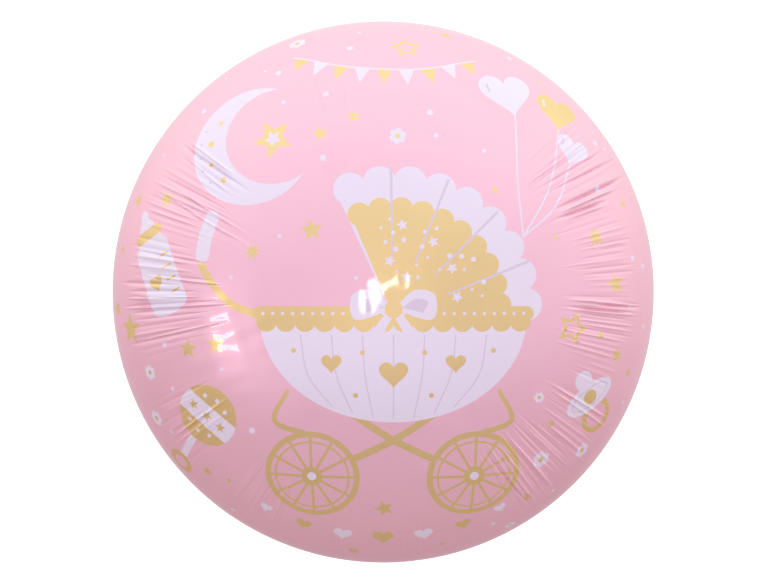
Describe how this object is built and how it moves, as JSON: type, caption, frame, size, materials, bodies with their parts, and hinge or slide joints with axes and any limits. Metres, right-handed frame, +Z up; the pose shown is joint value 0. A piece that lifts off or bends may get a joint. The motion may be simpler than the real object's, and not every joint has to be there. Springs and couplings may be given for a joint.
{
  "type": "foil balloon",
  "caption": "Round inflated foil balloon, lens-shaped, printed satin front, plain back, puckered heat-sealed edge and a valved filling neck folded back behind.",
  "frame": {"origin": "centre of the flat spot under the back film, on the surface the balloon lies on", "axes": "+Z up, out of the middle of the printed front film; +Y towards the top of the print; the filling neck is on the -Y side; +X to the right of the print"},
  "size_m": [0.3452, 0.3452, 0.2026],
  "materials": {
    "front_film": "satin metallised film in pearly pink, printed in pearl white and metallic gold",
    "back_film": "satin metallised film in pearly pink, sparsely printed with gold stars and white dots",
    "valve_film": "thin milky polyethylene film"
  },
  "bodies": {
    "root": {"front_film": "front_film", "back_film": "back_film", "valve_film": "valve_film"}
  },
  "joints": []
}
